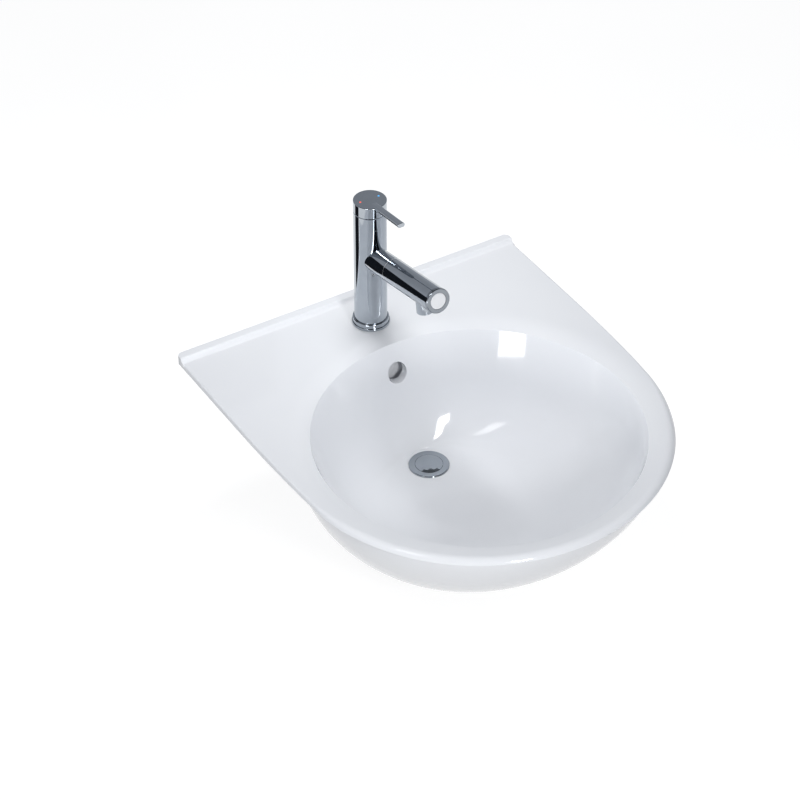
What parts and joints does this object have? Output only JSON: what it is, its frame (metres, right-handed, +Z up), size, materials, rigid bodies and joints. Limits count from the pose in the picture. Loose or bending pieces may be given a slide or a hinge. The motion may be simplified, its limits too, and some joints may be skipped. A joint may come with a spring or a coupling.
{
  "type": "semi recessed wash basin",
  "caption": "Semi recessed white china wash basin, straight at the wall and round in front, with a chrome pull-out mixer tap, an overflow and a push-open waste.",
  "frame": {"origin": "middle of the rear edge, at the wall face, level with the underside that rests on the counter", "axes": "+Z up, +Y towards the wall, +X to the right as seen from the front"},
  "size_m": [0.55, 0.6141, 0.4592],
  "materials": {
    "china": "gloss",
    "chrome": "polished",
    "brass": "machined",
    "steel": "zinc plated",
    "spring_steel": "bright wire",
    "rubber": "matte",
    "white_plastic": "gloss",
    "grey_plastic": "satin",
    "nylon": "satin",
    "red_mark": "gloss",
    "blue_mark": "gloss"
  },
  "bodies": {
    "basin_and_fixings": {"basin": "china", "waste_flange": "chrome", "flange_seal": "rubber", "click_carrier": "brass", "click_spring": "spring_steel", "tail_washer": "rubber", "slip_washer": "nylon", "back_nut": "brass", "base_seal": "rubber", "base_ring": "chrome", "tap_body": "chrome", "keeper_screw": "steel", "cartridge": "nylon", "cartridge_nut": "brass", "dome_cover": "chrome", "guide_bush": "nylon", "spout_ring": "chrome", "mounting_shank": "brass", "under_deck_washer": "rubber", "clamp_washer": "steel", "shank_nut": "brass"},
    "plug": {"waste_plug": "chrome", "plug_seal": "rubber", "plug_stem": "brass"},
    "rotor": {"cartridge_rotor": "grey_plastic", "stem_pin": "steel"},
    "handle": {"cartridge_stem": "brass", "handle_cap": "chrome", "handle_screw": "steel", "lever": "chrome", "hot_mark": "red_mark", "cold_mark": "blue_mark"},
    "handset": {"handset_tube": "chrome", "handset_spigot": "grey_plastic", "spigot_rings": "rubber", "water_block": "grey_plastic", "aerator_housing": "chrome", "aerator_insert": "nylon", "aerator_seal": "rubber", "handset_end_ring": "chrome", "button_spring": "spring_steel"},
    "button": {"selector_button": "white_plastic"}
  },
  "joints": [
    {"name": "plug_lift", "type": "slide", "parent": "basin_and_fixings", "child": "plug", "axis": [0, 0, 1], "range_m": [0, 0.008], "deforming": ["click_spring"]},
    {"name": "lever_turn", "type": "hinge", "parent": "basin_and_fixings", "child": "rotor", "pos_m": [0, -0.069, 0.183], "axis": [0, 0, 1], "range_deg": [-48, 48]},
    {"name": "lever_lift", "type": "hinge", "parent": "rotor", "child": "handle", "pos_m": [0, -0.069, 0.183], "axis": [-1, 0, 0], "range_deg": [0, 20]},
    {"name": "handset_pull", "type": "slide", "parent": "basin_and_fixings", "child": "handset", "axis": [0, -0.9816, 0.1908], "range_m": [0, 0.03]},
    {"name": "button_press", "type": "slide", "parent": "handset", "child": "button", "axis": [0, 0.9816, -0.1908], "range_m": [0, 0.0025], "stiffness_N_per_m": 500, "springref_m": -0.002}
  ]
}
